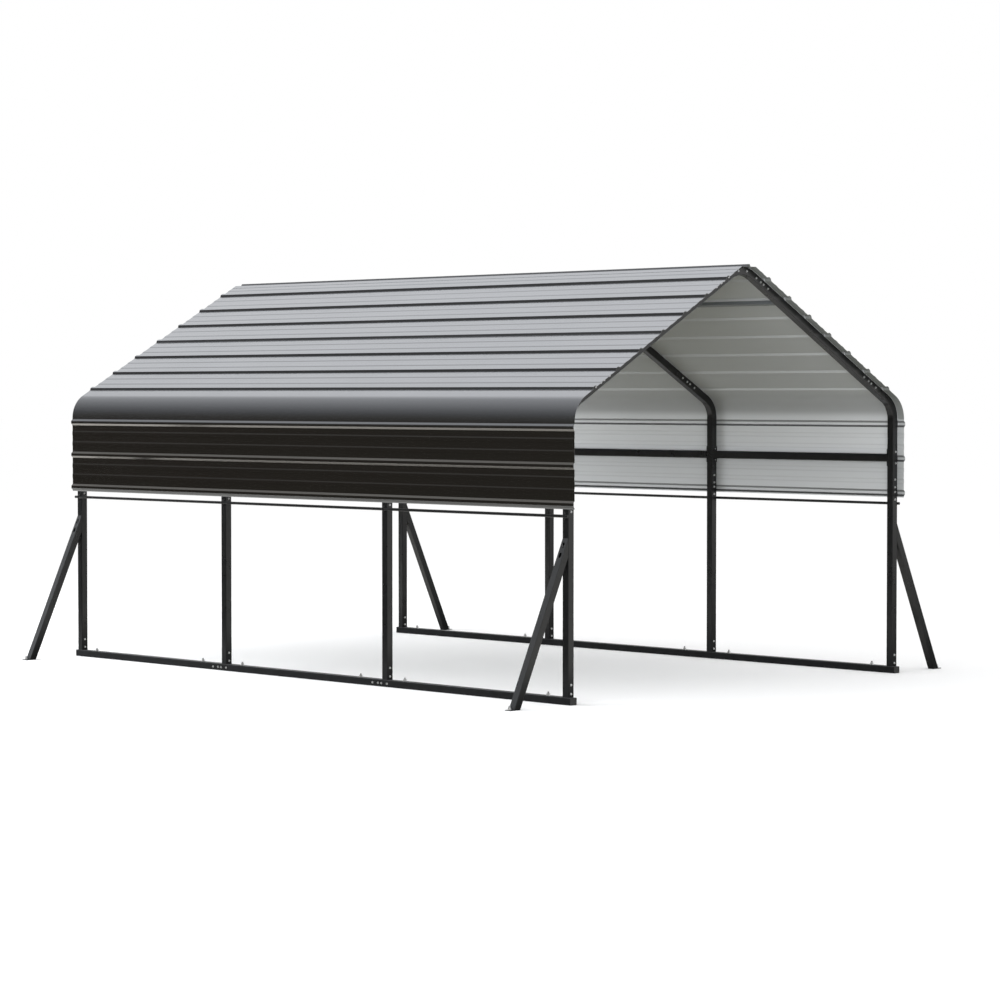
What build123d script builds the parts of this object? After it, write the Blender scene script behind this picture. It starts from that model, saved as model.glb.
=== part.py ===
"""Open carport: four square-tube frames on base rails under long-ribbed steel sheets.

Millimetres. X runs across the span, Y along the roof, Z up from the ground.
The origin is on the ground under the middle of the roof; the front is at -Y.
"""

import os
from math import atan2, cos, hypot, radians, sin, tan

from build123d import *

# Frame layout
SPAN = 3048.0  # over the outer faces of the legs
BAY = 1575.0  # from one frame to the next
FRAME_SHARES = (-1.5, -0.5, 0.5, 1.5)  # of a bay, from the middle of the roof
EAVE_HEIGHT = 1753.0  # where the leg face and the rafter face would meet
ROOF_SLOPE = 30.0  # degrees
RIGHT_ANGLE = 90.0  # degrees

# Square frame tube
TUBE = 48.0
TUBE_WALL = 2.0
TUBE_CORNER = 2.5  # bevel along the outer corners
EAVE_RADIUS = 176.0  # outer face of the bend at the eave
RIDGE_RADIUS = 240.0  # outer face of the bend at the ridge
LEG_JOINT_DROP = 558.0  # from the eave down to the top of a leg
EAVE_ARM = 317.0  # along the slope, from the eave corner to the rafter
RIDGE_ARM = 225.0  # along the slope, from the ridge point to the rafter

# Base rails and their anchor holes
RAIL_WIDTH = 52.0
RAIL_HEIGHT = 44.0
RAIL_WALL = 2.0
RAIL_OVERRUN = 18.0  # past the face of an end leg
RAIL_JOINT = 43.0  # behind the middle of a middle leg
ANCHOR_INSET = 205.0  # from the end of each rail
ANCHOR_HOLE = 12.0
CAP_PLATE = 3.0
CAP_PLUG = 14.0
CAP_CLEARANCE = 0.2

# Ribbed sheets
SHEET = 0.8
ROOF_OVERHANG = 52.0  # past the face of an end leg
RIB_SPACING = 224.0
RIB_HEIGHT = 12.0
RIB_BASE = 42.0
RIB_TOP = 16.0
MINOR_HEIGHT = 2.0
MINOR_BASE = 34.0
MINOR_TOP = 18.0
MINOR_SHARES = (0.342, 0.66)  # of the rib spacing, up from a rib
WALL_SPACES = 2  # rib spaces on a wall sheet
WALL_FLAT = 10.0  # from the top rib of the wall to the roll
ROOF_FLAT = 73.0  # from the roll to the first rib of the roof
WALL_HEM = 7.0
LAP_LIP = 8.0
LAP_UNDER = 10.0  # past the middle of the covering rib

# Ridge cap
ROOF_GAP = 5.0  # from the flat of the ridge cap to the edge of a top sheet
CAP_LAP = 30.0  # of the cap over a top sheet
CROWN_BASE = 30.0
CROWN_TOP = 12.0
CROWN_HEIGHT = 15.0

# Side girts and roof purlins
GIRT_DROP = 350.0  # from the eave down to a girt
PURLIN_DROP = 472.0  # along the slope, from the ridge point
PURLIN_TUBE = 25.0  # square, level with the outer faces of the rafters
END_PLATE = 3.0
END_PLATE_HEIGHT = 108.0

# Lower rods
ROD = 18.0
ROD_DROP = 68.0  # below the lowest rib of the wall
ROD_OVERRUN = 8.0  # past the face of an end leg

# Outrigger struts
STRUT_DROP = 129.0  # from the lower rod down to the strut's upper tip
STRUT_REACH = 442.0  # from the leg to the strut's outer foot
FOOT_PLATE = 4.0
FOOT_TAB = 28.0  # past the foot of the strut
FOOT_HOLE = 11.0
FOOT_HOLE_INSET = 15.0  # from the outer edge of the tab
SLOT_LENGTH = 34.0
SLOT_WIDTH = 18.0
SLOT_SPACING = 64.0
SLOT_DROP = 43.0  # from the strut's upper tip

# Values worked out from the sizes above
HALF = SPAN / 2
SLOPE = radians(ROOF_SLOPE)
EAVE_HALF_TURN = radians(RIGHT_ANGLE - ROOF_SLOPE) / 2
LEG_X = HALF - TUBE / 2
LEG_JOINT = EAVE_HEIGHT - LEG_JOINT_DROP
RIDGE_HEIGHT = EAVE_HEIGHT + HALF * tan(SLOPE)
SLOPE_LENGTH = HALF / cos(SLOPE)
FRAME_NAMES = ("front", "front_middle", "rear_middle", "rear")
FRAME_YS = [share * BAY for share in FRAME_SHARES]
BAY_YS = [(near + far) / 2 for near, far in zip(FRAME_YS, FRAME_YS[1:])]
END_FACE = FRAME_YS[-1] + TUBE / 2
ROOF_LENGTH = 2 * (END_FACE + ROOF_OVERHANG)
EAVE_TANGENT = EAVE_RADIUS * tan(EAVE_HALF_TURN)
TOP_WALL_RIB = EAVE_HEIGHT - EAVE_TANGENT - WALL_FLAT - RIB_BASE / 2
LOW_WALL_RIB = TOP_WALL_RIB - WALL_SPACES * RIB_SPACING
ROD_HEIGHT = LOW_WALL_RIB - ROD_DROP
STRUT_TOP = ROD_HEIGHT - STRUT_DROP
SIDES = {"left": -1, "right": 1}

os.makedirs("parts", exist_ok=True)


def save(part, name):
    """Label a finished piece and write its file."""
    part.label = name
    export_step(part, f"parts/{name}.step")


def save_pair(part, name):
    """Save a right-hand piece and its mirror image on the left."""
    with BuildPart() as other:
        mirror(part, about=Plane.YZ)
    save(part, f"right_{name}")
    save(other.part, f"left_{name}")


def frame_plane(y):
    """Upright plane across the span, with X across and its own Y up."""
    return Plane(origin=(0, y, 0), x_dir=(1, 0, 0), z_dir=(0, -1, 0))


def slope_point(distance, depth=0.0):
    """Point on the right-hand slope: distance down from the ridge point, depth below the face."""
    x = distance * cos(SLOPE) - depth * sin(SLOPE)
    z = RIDGE_HEIGHT - distance * sin(SLOPE) - depth * cos(SLOPE)
    return x, z


def hollow_section(width, height, wall):
    """Hollow rectangle with bevelled outer corners, drawn in the open sketch."""
    Rectangle(width, height)
    chamfer(vertices(), TUBE_CORNER)
    Rectangle(width - 2 * wall, height - 2 * wall, mode=Mode.SUBTRACT)


def square_tube(base, length):
    """Straight frame tube drawn on the base plane and run along its normal."""
    with BuildPart() as tube:
        with BuildSketch(base):
            hollow_section(TUBE, TUBE, TUBE_WALL)
        extrude(amount=length)
    return tube.part


def bent_tube(points, y, radius, start):
    """Frame tube bent once, along three points of the frame plane."""
    with BuildPart() as tube:
        with BuildLine(frame_plane(y)) as path:
            FilletPolyline(*points, radius=radius - TUBE / 2)
        with BuildSketch(start):
            hollow_section(TUBE, TUBE, TUBE_WALL)
        sweep(path=path.wire())
    return tube.part


# Legs, standing on the base rails
for frame_name, frame_y in zip(FRAME_NAMES, FRAME_YS):
    for side_name, side in SIDES.items():
        leg_base = Plane(origin=(side * LEG_X, frame_y, RAIL_HEIGHT))
        with BuildPart() as leg:
            add(square_tube(leg_base, LEG_JOINT - RAIL_HEIGHT))
        save(leg.part, f"{frame_name}_{side_name}_leg")

# Eave bends, from the leg joint round to the rafter joint
eave_tip_x, eave_tip_z = slope_point(SLOPE_LENGTH - EAVE_ARM, TUBE / 2)
eave_corner_z = EAVE_HEIGHT - TUBE / 2 * tan(EAVE_HALF_TURN)
eave_points = ((LEG_X, LEG_JOINT), (LEG_X, eave_corner_z), (eave_tip_x, eave_tip_z))
for frame_name, frame_y in zip(FRAME_NAMES, FRAME_YS):
    eave_start = Plane(origin=(LEG_X, frame_y, LEG_JOINT), x_dir=(0, 1, 0), z_dir=(0, 0, 1))
    with BuildPart() as eave_bends:
        add(bent_tube(eave_points, frame_y, EAVE_RADIUS, eave_start))
        mirror(about=Plane.YZ)
    save(eave_bends.part, f"{frame_name}_eave_bends")

# Rafters, between the eave bends and the ridge bend
for frame_name, frame_y in zip(FRAME_NAMES, FRAME_YS):
    rafter_foot = (eave_tip_x, frame_y, eave_tip_z)
    rafter_base = Plane(origin=rafter_foot, x_dir=(0, 1, 0), z_dir=(-cos(SLOPE), 0, sin(SLOPE)))
    with BuildPart() as rafters:
        add(square_tube(rafter_base, SLOPE_LENGTH - EAVE_ARM - RIDGE_ARM))
        mirror(about=Plane.YZ)
    save(rafters.part, f"{frame_name}_rafters")

# Ridge bends, one to a frame
ridge_tip_x, ridge_tip_z = slope_point(RIDGE_ARM, TUBE / 2)
ridge_peak_z = RIDGE_HEIGHT - TUBE / 2 / cos(SLOPE)
ridge_points = ((-ridge_tip_x, ridge_tip_z), (0, ridge_peak_z), (ridge_tip_x, ridge_tip_z))
with BuildPart() as ridge_bends:
    for frame_y in FRAME_YS:
        ridge_tip = (-ridge_tip_x, frame_y, ridge_tip_z)
        ridge_start = Plane(origin=ridge_tip, x_dir=(0, 1, 0), z_dir=(cos(SLOPE), 0, sin(SLOPE)))
        add(bent_tube(ridge_points, frame_y, RIDGE_RADIUS, ridge_start))
save(ridge_bends.part, "ridge_bends")

# Base rails, three to a side, with two anchor holes each
rail_end = END_FACE + RAIL_OVERRUN
rail_breaks = (-rail_end, FRAME_YS[1] + RAIL_JOINT, FRAME_YS[2] + RAIL_JOINT, rail_end)
rail_names = ("front", "middle", "rear")
for side_name, side in SIDES.items():
    for rail_name, rail_from, rail_to in zip(rail_names, rail_breaks, rail_breaks[1:]):
        rail_start = (side * LEG_X, rail_from, RAIL_HEIGHT / 2)
        with BuildPart() as rail:
            with BuildSketch(Plane(origin=rail_start, x_dir=(1, 0, 0), z_dir=(0, 1, 0))):
                hollow_section(RAIL_WIDTH, RAIL_HEIGHT, RAIL_WALL)
            extrude(amount=rail_to - rail_from)
            with BuildSketch(Plane(origin=(side * LEG_X, 0, RAIL_HEIGHT))):
                with Locations((0, rail_from + ANCHOR_INSET), (0, rail_to - ANCHOR_INSET)):
                    Circle(ANCHOR_HOLE / 2)
            extrude(amount=-RAIL_HEIGHT, mode=Mode.SUBTRACT)
        save(rail.part, f"{side_name}_{rail_name}_base_rail")

# End caps plugged into the open ends of the base rails
plug_width = RAIL_WIDTH - 2 * (RAIL_WALL + CAP_CLEARANCE)
plug_height = RAIL_HEIGHT - 2 * (RAIL_WALL + CAP_CLEARANCE)
with BuildPart() as rail_end_caps:
    for side in SIDES.values():
        cap_middle = (side * LEG_X, rail_end, RAIL_HEIGHT / 2)
        cap_face = Plane(origin=cap_middle, x_dir=(1, 0, 0), z_dir=(0, 1, 0))
        with BuildSketch(cap_face):
            Rectangle(RAIL_WIDTH, RAIL_HEIGHT)
            chamfer(vertices(), TUBE_CORNER)
        extrude(amount=CAP_PLATE)
        with BuildSketch(cap_face):
            Rectangle(plug_width, plug_height)
        extrude(amount=-CAP_PLUG)
    mirror(about=Plane.XZ)
save(rail_end_caps.part, "rail_end_caps")

# Outrigger struts, in pairs from the end legs out to their foot plates
strut_lean = atan2(STRUT_REACH, STRUT_TOP)
strut_length = hypot(STRUT_REACH, STRUT_TOP)
strut_run = (sin(strut_lean), 0, -cos(strut_lean))
strut_out = (cos(strut_lean), 0, sin(strut_lean))
foot_inner = HALF + STRUT_REACH - TUBE / cos(strut_lean)
foot_outer = HALF + STRUT_REACH + FOOT_TAB
for end_name, end_y in (("front", FRAME_YS[0]), ("rear", FRAME_YS[-1])):
    strut_tip = (HALF, end_y, STRUT_TOP)
    strut_base = Plane(origin=strut_tip, x_dir=(0, 1, 0), z_dir=strut_run)
    with BuildPart() as struts:
        with BuildSketch(strut_base.offset(-TUBE)):
            with Locations((0, -TUBE / 2)):
                hollow_section(TUBE, TUBE, TUBE_WALL)
        extrude(amount=strut_length + 2 * TUBE)
        split(bisect_by=Plane(origin=(HALF, 0, 0), z_dir=(1, 0, 0)))
        split(bisect_by=Plane(origin=(0, 0, FOOT_PLATE), z_dir=(0, 0, 1)))
        with BuildSketch(Plane(origin=strut_tip, x_dir=strut_run, z_dir=strut_out)):
            with Locations((SLOT_DROP, 0), (SLOT_DROP + SLOT_SPACING, 0)):
                SlotOverall(SLOT_LENGTH, SLOT_WIDTH)
        extrude(amount=-TUBE / 2, mode=Mode.SUBTRACT)
        with BuildSketch(Plane(origin=((foot_inner + foot_outer) / 2, end_y, 0))):
            Rectangle(foot_outer - foot_inner, TUBE)
            with Locations(((foot_outer - foot_inner) / 2 - FOOT_HOLE_INSET, 0)):
                Circle(FOOT_HOLE / 2, mode=Mode.SUBTRACT)
        extrude(amount=FOOT_PLATE)
        mirror(about=Plane.YZ)
    save(struts.part, f"{end_name}_struts")


def cross_bar(base, width):
    """Square tube with a welded plate at each end, filling one bay along Y."""
    with BuildPart() as bar:
        with BuildSketch(base):
            hollow_section(width, width, TUBE_WALL)
        extrude(amount=(BAY - TUBE) / 2, both=True)
        for plate_y in (-(BAY - TUBE) / 2, (BAY - TUBE) / 2 - END_PLATE):
            with BuildSketch(base.offset(plate_y)):
                Rectangle(width, END_PLATE_HEIGHT)
            extrude(amount=END_PLATE)
    return bar.part


# Side girts between the legs
with BuildPart() as girts:
    for bay_y in BAY_YS:
        girt_middle = (LEG_X, bay_y, EAVE_HEIGHT - GIRT_DROP)
        add(cross_bar(Plane(origin=girt_middle, x_dir=(1, 0, 0), z_dir=(0, 1, 0)), TUBE))
save_pair(girts.part, "girts")

# Roof purlins between the rafters
purlin_x, purlin_z = slope_point(PURLIN_DROP, PURLIN_TUBE / 2)
purlin_face = (sin(SLOPE), 0, cos(SLOPE))
with BuildPart() as purlins:
    for bay_y in BAY_YS:
        purlin_middle = (purlin_x, bay_y, purlin_z)
        add(cross_bar(Plane(origin=purlin_middle, x_dir=purlin_face, z_dir=(0, 1, 0)), PURLIN_TUBE))
save_pair(purlins.part, "purlins")

# Lower rods along the outer faces of the legs
with BuildPart() as lower_rods:
    for side in SIDES.values():
        rod_middle = (side * (HALF + ROD / 2), 0, ROD_HEIGHT)
        with BuildSketch(Plane(origin=rod_middle, x_dir=(1, 0, 0), z_dir=(0, 1, 0))):
            Circle(ROD / 2)
        extrude(amount=END_FACE + ROD_OVERRUN, both=True)
save(lower_rods.part, "lower_rods")


def rib(middle):
    """Corner points of one main rib on a flat sheet."""
    return [
        (middle - RIB_BASE / 2, 0),
        (middle - RIB_TOP / 2, RIB_HEIGHT),
        (middle + RIB_TOP / 2, RIB_HEIGHT),
        (middle + RIB_BASE / 2, 0),
    ]


def lapped_rib(middle):
    """Main rib whose lower foot laps over the sheet below it."""
    foot = middle - RIB_BASE / 2
    return [(foot - LAP_LIP, SHEET), (foot, SHEET)] + rib(middle)[1:]


def minor_ribs(middle, shares=MINOR_SHARES):
    """Corner points of the low ribs in the pan above a main rib."""
    points = []
    for share in shares:
        low = middle + share * RIB_SPACING
        points.append((low - MINOR_BASE / 2, 0))
        points.append((low - MINOR_TOP / 2, MINOR_HEIGHT))
        points.append((low + MINOR_TOP / 2, MINOR_HEIGHT))
        points.append((low + MINOR_BASE / 2, 0))
    return points


def roof_run(first, spaces):
    """Corner points of a roof sheet from its lapped rib up through its pans."""
    points = lapped_rib(first) + minor_ribs(first)
    for count in range(1, spaces):
        middle = first + count * RIB_SPACING
        points += rib(middle) + minor_ribs(middle)
    return points


def flat_sheet(base, points):
    """Ribbed sheet: the line of its inner face thickened outwards and run along the roof."""
    with BuildPart() as sheet:
        with BuildSketch(base):
            with BuildLine():
                Polyline(*points)
                offset(amount=SHEET, side=Side.LEFT, kind=Kind.INTERSECTION)
            make_face()
        extrude(amount=ROOF_LENGTH / 2, both=True)
    return sheet.part


# Wall sheets
wall_base = Plane(origin=(HALF, 0, 0), x_dir=(0, 0, 1), z_dir=(0, 1, 0))
wall_points = [(LOW_WALL_RIB - RIB_BASE / 2 - WALL_HEM, 0)]
for count in range(WALL_SPACES):
    rib_height = LOW_WALL_RIB + count * RIB_SPACING
    wall_points += rib(rib_height) + minor_ribs(rib_height)
wall_points.append((TOP_WALL_RIB + LAP_UNDER, 0))
save_pair(flat_sheet(wall_base, wall_points), "wall_sheet")

# Eave sheets, rolled from the wall round to the roof
eave_rib = EAVE_TANGENT + ROOF_FLAT + RIB_BASE / 2
eave_foot = [(HALF + height, along) for along, height in lapped_rib(TOP_WALL_RIB)]
roll_start = (HALF, EAVE_HEIGHT - EAVE_TANGENT)
roll_turn = RIGHT_ANGLE - ROOF_SLOPE
with BuildPart() as eave_sheet:
    with BuildSketch(frame_plane(0)):
        with BuildLine():
            Polyline(*eave_foot, roll_start)
            roll = JernArc(start=roll_start, tangent=(0, 1), radius=EAVE_RADIUS, arc_size=roll_turn)
            Line(roll @ 1, slope_point(SLOPE_LENGTH - eave_rib - LAP_UNDER))
            offset(amount=SHEET, side=Side.RIGHT, kind=Kind.INTERSECTION)
        make_face()
    extrude(amount=ROOF_LENGTH / 2, both=True)
save_pair(eave_sheet.part, "eave_sheet")

# Roof sheets, a lower and an upper one on each slope
ridge_top = RIDGE_HEIGHT - RIDGE_RADIUS / cos(SLOPE) + RIDGE_RADIUS
cap_top = ridge_top + SHEET
cap_flat = (RIDGE_HEIGHT + SHEET / cos(SLOPE) - cap_top) / tan(SLOPE)
roof_edge = cap_flat / cos(SLOPE) + ROOF_GAP
cap_edge = roof_edge + CAP_LAP
roof_spaces = int((SLOPE_LENGTH - eave_rib - cap_edge - RIB_BASE / 2) / RIB_SPACING)
lower_spaces = (roof_spaces + 1) // 2
upper_rib = eave_rib + lower_spaces * RIB_SPACING
top_rib = eave_rib + roof_spaces * RIB_SPACING
top_pan = (SLOPE_LENGTH - cap_edge - top_rib - MINOR_BASE / 2) / RIB_SPACING
top_shares = [share for share in MINOR_SHARES if share < top_pan]
roof_base = Plane(origin=(HALF, 0, EAVE_HEIGHT), x_dir=(-cos(SLOPE), 0, sin(SLOPE)), z_dir=(0, 1, 0))
lower_points = roof_run(eave_rib, lower_spaces)
lower_points.append((upper_rib + LAP_UNDER, 0))
upper_points = roof_run(upper_rib, roof_spaces - lower_spaces)
upper_points += rib(top_rib) + minor_ribs(top_rib, top_shares)
upper_points.append((SLOPE_LENGTH - roof_edge, 0))
save_pair(flat_sheet(roof_base, lower_points), "lower_roof_sheet")
save_pair(flat_sheet(roof_base, upper_points), "upper_roof_sheet")

# Ridge cap, flat over the ridge with a raised crown, its flanges lying on the top sheets
crown_top = cap_top + CROWN_HEIGHT
crown_points = ((0, crown_top), (CROWN_TOP / 2, crown_top), (CROWN_BASE / 2, cap_top))
with BuildPart() as ridge_cap:
    with BuildSketch(frame_plane(0)):
        with BuildLine():
            Polyline(*crown_points, (cap_flat, cap_top), slope_point(cap_edge, -SHEET))
            offset(amount=SHEET, side=Side.LEFT, kind=Kind.INTERSECTION)
        make_face()
        mirror(about=Plane.YZ)
    extrude(amount=ROOF_LENGTH / 2, both=True)
save(ridge_cap.part, "ridge_cap")
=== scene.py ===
# %% [markdown]
# # Dressing an open steel carport
#
# The carport is four bent frames of square tube on base rails, with long ribbed sheets
# over them. The solids come from the CAD pack and stay where they are. This lesson adds
# what the pack leaves out: finishes, rounded shading on the bends, screws, anchors and
# clips, and a plain studio. Everything is in metres, with X across the span, Y along the
# roof and Z up. The front opening is at -Y.

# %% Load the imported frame
import math

import bmesh
import bpy
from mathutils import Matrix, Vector


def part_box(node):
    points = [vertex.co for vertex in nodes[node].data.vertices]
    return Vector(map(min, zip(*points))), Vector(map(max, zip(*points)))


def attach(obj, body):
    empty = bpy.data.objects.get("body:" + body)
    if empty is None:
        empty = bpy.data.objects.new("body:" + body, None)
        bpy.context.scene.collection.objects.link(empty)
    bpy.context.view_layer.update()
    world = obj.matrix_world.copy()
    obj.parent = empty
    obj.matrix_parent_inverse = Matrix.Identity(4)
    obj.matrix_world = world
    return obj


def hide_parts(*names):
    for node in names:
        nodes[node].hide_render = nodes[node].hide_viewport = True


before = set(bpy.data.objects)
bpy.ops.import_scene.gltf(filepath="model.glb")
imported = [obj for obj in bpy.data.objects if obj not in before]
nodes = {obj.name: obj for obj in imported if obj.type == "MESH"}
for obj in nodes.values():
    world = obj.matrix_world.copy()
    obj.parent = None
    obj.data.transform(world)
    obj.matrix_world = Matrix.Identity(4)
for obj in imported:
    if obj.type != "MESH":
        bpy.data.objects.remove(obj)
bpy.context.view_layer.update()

# %% [markdown]
# ## The camera
#
# The picture was taken from the front left with a long lens, a little above eye level. The
# place and the lens were solved from straight edges of the frame, whose sizes are known, so
# the render can be laid over the picture. A guessed camera would make every later
# comparison of shapes unsure.

# %% Place the camera
CAMERA_PLACE = (-14.359, -15.042, 1.816)
CAMERA_TILT = math.radians(88.04)
CAMERA_TURN = math.radians(-44.14)
LENS_MM = 111.54
SENSOR_MM = 36.0
SIGHT_LIMIT = 400.0


def add_object(name, data):
    """Put a new object in the scene."""
    thing = bpy.data.objects.new(name, data)
    bpy.context.scene.collection.objects.link(thing)
    return thing


camera_data = bpy.data.cameras.new("front_left_view")
camera_data.lens = LENS_MM
camera_data.sensor_width = SENSOR_MM
camera_data.clip_end = SIGHT_LIMIT
camera = add_object("front_left_view", camera_data)
camera.location = CAMERA_PLACE
camera.rotation_euler = (CAMERA_TILT, 0.0, CAMERA_TURN)
bpy.context.scene.camera = camera
bpy.context.scene.view_settings.view_transform = "Standard"
print("camera", tuple(camera.location), "lens", camera_data.lens)

# %% [markdown]
# ## Small helpers for node trees
#
# Every finish here is a tree of nodes, so a few short helpers keep the cells readable. Two of
# them do the basic work: one adds a node and sets its options, and one fills a socket with
# either a plain value or a link. The others use those two for sums, blends, noise and soft
# steps.


# %% Define the node helpers
def add_node(tree, kind, **options):
    """Add one node to a tree and set its options."""
    node = tree.nodes.new(kind)
    for name, value in options.items():
        setattr(node, name, value)
    return node


def feed(tree, socket, source):
    """Link a source socket, or set a plain value."""
    if isinstance(source, bpy.types.NodeSocket):
        tree.links.new(source, socket)
    else:
        socket.default_value = source


def math_node(tree, operation, first, second=0.0):
    """One Math node; returns its result."""
    node = add_node(tree, "ShaderNodeMath", operation=operation)
    feed(tree, node.inputs[0], first)
    feed(tree, node.inputs[1], second)
    return node.outputs[0]


def blend_values(tree, share, low, high):
    """Blend two numbers by a share from 0 to 1."""
    node = add_node(tree, "ShaderNodeMix", data_type="FLOAT")
    feed(tree, node.inputs[0], share)
    feed(tree, node.inputs[2], low)
    feed(tree, node.inputs[3], high)
    return node.outputs[0]


def blend_colours(tree, share, low, high):
    """Blend two colours by a share from 0 to 1."""
    node = add_node(tree, "ShaderNodeMix", data_type="RGBA")
    feed(tree, node.inputs[0], share)
    feed(tree, node.inputs[6], low)
    feed(tree, node.inputs[7], high)
    return node.outputs[2]


def noise(tree, where, scale, detail, roughness):
    """One noise texture; returns its value."""
    node = add_node(tree, "ShaderNodeTexNoise")
    feed(tree, node.inputs["Vector"], where)
    feed(tree, node.inputs["Scale"], scale)
    feed(tree, node.inputs["Detail"], detail)
    feed(tree, node.inputs["Roughness"], roughness)
    return node.outputs["Fac"]


def soft_step(tree, value, start, stop):
    """Soft rise from 0 at one value to 1 at another."""
    node = add_node(tree, "ShaderNodeMapRange", interpolation_type="SMOOTHSTEP")
    feed(tree, node.inputs["Value"], value)
    node.inputs["From Min"].default_value = start
    node.inputs["From Max"].default_value = stop
    return node.outputs["Result"]


print("node helpers ready")

# %% [markdown]
# ## Shared coat effects
#
# Baked paint is never quite even. Over a hand's width its gloss drifts, up close it has a
# fine orange peel, and near the ground it keeps a film of dust. Low faces that look up are
# made paler too, as dust and as painted light for the light such faces catch. Sheets, tubes
# and caps all show these, so each effect is a node group that is built once and placed in
# every coat with its own values. A painted picture would need unwrapping and would blur up
# close; noise on the object's own coordinates stays sharp.

# %% Build the coat groups
DRIFT_DETAIL = 3.0
DRIFT_ROUGHNESS = 0.55
PEEL_DETAIL = 1.0
PEEL_ROUGHNESS = 0.4
PATCH_SCALE = 26.0
PATCH_DETAIL = 4.0
PATCH_ROUGHNESS = 0.65


def new_group(name, inputs, outputs):
    """Empty shader group; an output whose title ends in Normal is a direction."""
    group = bpy.data.node_groups.new(name, "ShaderNodeTree")
    for title, kind, value in inputs:
        socket = group.interface.new_socket(title, in_out="INPUT", socket_type=kind)
        if value is not None:
            socket.default_value = value
    for title in outputs:
        kind = "NodeSocketVector" if title.endswith("Normal") else "NodeSocketFloat"
        group.interface.new_socket(title, in_out="OUTPUT", socket_type=kind)
    entry = group.nodes.new("NodeGroupInput")
    leave = group.nodes.new("NodeGroupOutput")
    return group, entry, leave


def build_coat_unevenness():
    """Slow drift of gloss and a fine peel."""
    inputs = [
        ("Where", "NodeSocketVector", None),
        ("Drift Scale", "NodeSocketFloat", 3.0),
        ("Peel Scale", "NodeSocketFloat", 700.0),
    ]
    group, entry, leave = new_group("coat_unevenness", inputs, ["Drift", "Peel"])
    where = entry.outputs["Where"]
    drift = noise(group, where, entry.outputs["Drift Scale"], DRIFT_DETAIL, DRIFT_ROUGHNESS)
    peel = noise(group, where, entry.outputs["Peel Scale"], PEEL_DETAIL, PEEL_ROUGHNESS)
    feed(group, leave.inputs["Drift"], drift)
    feed(group, leave.inputs["Peel"], peel)
    return group


def build_ground_dust_and_top_light():
    """Wear near the ground, soil splashed there, and faces that look up made paler, as soil and
    painted light.
    """
    inputs = [
        ("Where", "NodeSocketVector", None),
        ("Normal", "NodeSocketVector", None),
        ("Reach", "NodeSocketFloat", 0.25),
        ("Amount", "NodeSocketFloat", 0.3),
        ("Lying Reach", "NodeSocketFloat", 1.0),
        ("Lying Amount", "NodeSocketFloat", 0.0),
    ]
    group, entry, leave = new_group("ground_dust", inputs, ["Scuffs", "Dust"])
    where = entry.outputs["Where"]
    split = add_node(group, "ShaderNodeSeparateXYZ")
    feed(group, split.inputs[0], where)
    height = math_node(group, "DIVIDE", split.outputs["Z"], entry.outputs["Reach"])
    near_ground = soft_step(group, height, 1.0, 0.0)
    feed(group, leave.inputs["Scuffs"], near_ground)
    broken = noise(group, where, PATCH_SCALE, PATCH_DETAIL, PATCH_ROUGHNESS)
    patchy = math_node(group, "MULTIPLY", near_ground, broken)
    splashed = math_node(group, "MULTIPLY", patchy, entry.outputs["Amount"])
    # Faces that look up below a height are made paler: dust, and painted light for the light
    # such faces catch.
    slant = add_node(group, "ShaderNodeSeparateXYZ")
    feed(group, slant.inputs[0], entry.outputs["Normal"])
    low_down = math_node(group, "LESS_THAN", split.outputs["Z"], entry.outputs["Lying Reach"])
    looks_up = math_node(group, "MAXIMUM", slant.outputs["Z"], 0.0)
    lying = math_node(group, "MULTIPLY", looks_up, low_down)
    lying = math_node(group, "MULTIPLY", lying, entry.outputs["Lying Amount"])
    feed(group, leave.inputs["Dust"], math_node(group, "ADD", splashed, lying))
    return group


COAT_UNEVENNESS = build_coat_unevenness()
GROUND_DUST_AND_TOP_LIGHT = build_ground_dust_and_top_light()
print("groups:", COAT_UNEVENNESS.name, GROUND_DUST_AND_TOP_LIGHT.name)


# %% Define the start of a coat
def place_group(tree, group, **values):
    """Place a shared group in a material and fill its inputs."""
    node = add_node(tree, "ShaderNodeGroup", node_tree=group)
    for title, value in values.items():
        feed(tree, node.inputs[title.replace("_", " ")], value)
    return node


def start_coat(name):
    """New material; returns it with its tree, its shader and its object coordinates."""
    material = bpy.data.materials.new(name)
    material.use_nodes = True
    tree = material.node_tree
    shader = tree.nodes["Principled BSDF"]
    where = add_node(tree, "ShaderNodeTexCoord").outputs["Object"]
    return material, tree, shader, where


def bump(tree, shader, height, distance, normal=None):
    """Raise the surface of a coat by a height field."""
    node = add_node(tree, "ShaderNodeBump")
    node.inputs["Distance"].default_value = distance
    feed(tree, node.inputs["Height"], height)
    if normal is not None:
        feed(tree, node.inputs["Normal"], normal)
    tree.links.new(node.outputs["Normal"], shader.inputs["Normal"])


print("coat starter ready")
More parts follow.
